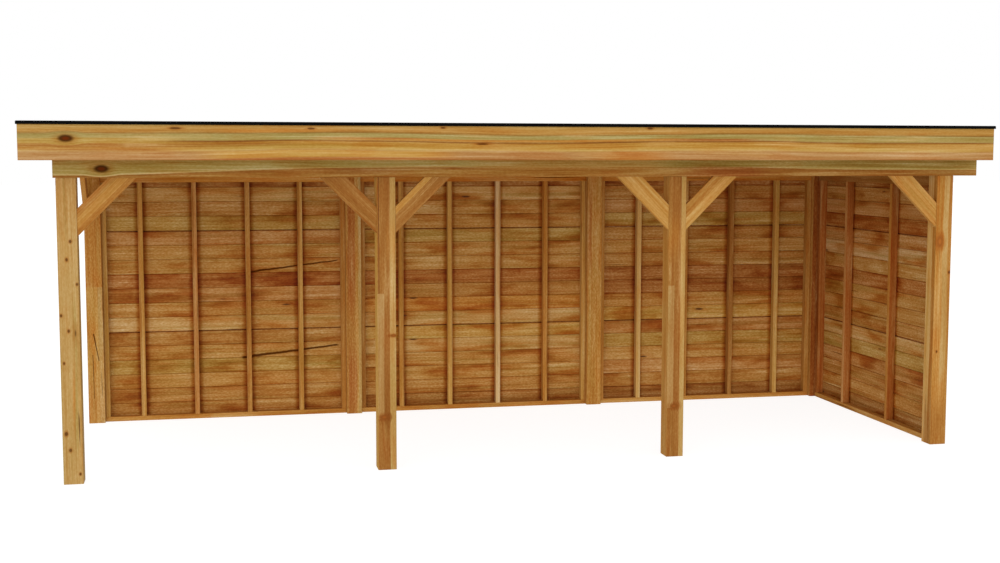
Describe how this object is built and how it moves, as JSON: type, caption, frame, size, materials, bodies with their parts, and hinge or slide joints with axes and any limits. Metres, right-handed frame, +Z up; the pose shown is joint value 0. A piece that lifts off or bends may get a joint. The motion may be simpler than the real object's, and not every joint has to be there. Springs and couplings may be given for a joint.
{
  "type": "freestanding veranda",
  "caption": "Open timber veranda with a flat roof, braced square posts, an open front and left side, and boarded walls at the back and right.",
  "frame": {"origin": "ground level, under the middle of the roof", "axes": "+X along the front towards the boarded right side, +Y to the boarded back, +Z up"},
  "size_m": [8, 3.12, 2.803],
  "materials": {
    "posts": "planed impregnated pine",
    "beams": "planed impregnated pine",
    "braces": "planed impregnated pine",
    "wall_framing": "planed impregnated pine",
    "cladding": "planed impregnated boards",
    "roof_framing": "planed impregnated pine",
    "roof_deck": "planed tongue and groove boards",
    "roof_membrane": "matt",
    "fascia": "planed impregnated pine",
    "trim": "black powder coat"
  },
  "bodies": {
    "root": {"front_post_left": "posts", "front_post_mid_left": "posts", "front_post_mid_right": "posts", "front_post_right": "posts", "rear_post_left": "posts", "rear_post_mid_left": "posts", "rear_post_mid_right": "posts", "rear_post_right": "posts", "front_beam": "beams", "rear_beam": "beams", "left_beam": "beams", "right_beam": "beams", "brace_left_bay_left": "braces", "brace_left_bay_right": "braces", "brace_middle_bay_left": "braces", "brace_middle_bay_right": "braces", "brace_right_bay_left": "braces", "brace_right_bay_right": "braces", "brace_side_front": "braces", "brace_side_rear": "braces", "back_bottom_rails": "wall_framing", "back_top_rails": "wall_framing", "back_studs_left": "wall_framing", "back_studs_middle": "wall_framing", "back_studs_right": "wall_framing", "right_bottom_rail": "wall_framing", "right_top_rail": "wall_framing", "right_studs": "wall_framing", "back_cladding_left": "cladding", "back_cladding_middle": "cladding", "back_cladding_right": "cladding", "right_cladding": "cladding", "roof_joists": "roof_framing", "roof_noggings": "roof_framing", "roof_deck": "roof_deck", "roof_membrane": "roof_membrane", "fascia_front": "fascia", "fascia_rear": "fascia", "fascia_left": "fascia", "fascia_right": "fascia", "trim_front": "trim", "trim_rear": "trim", "trim_left": "trim", "trim_right": "trim"}
  },
  "joints": []
}
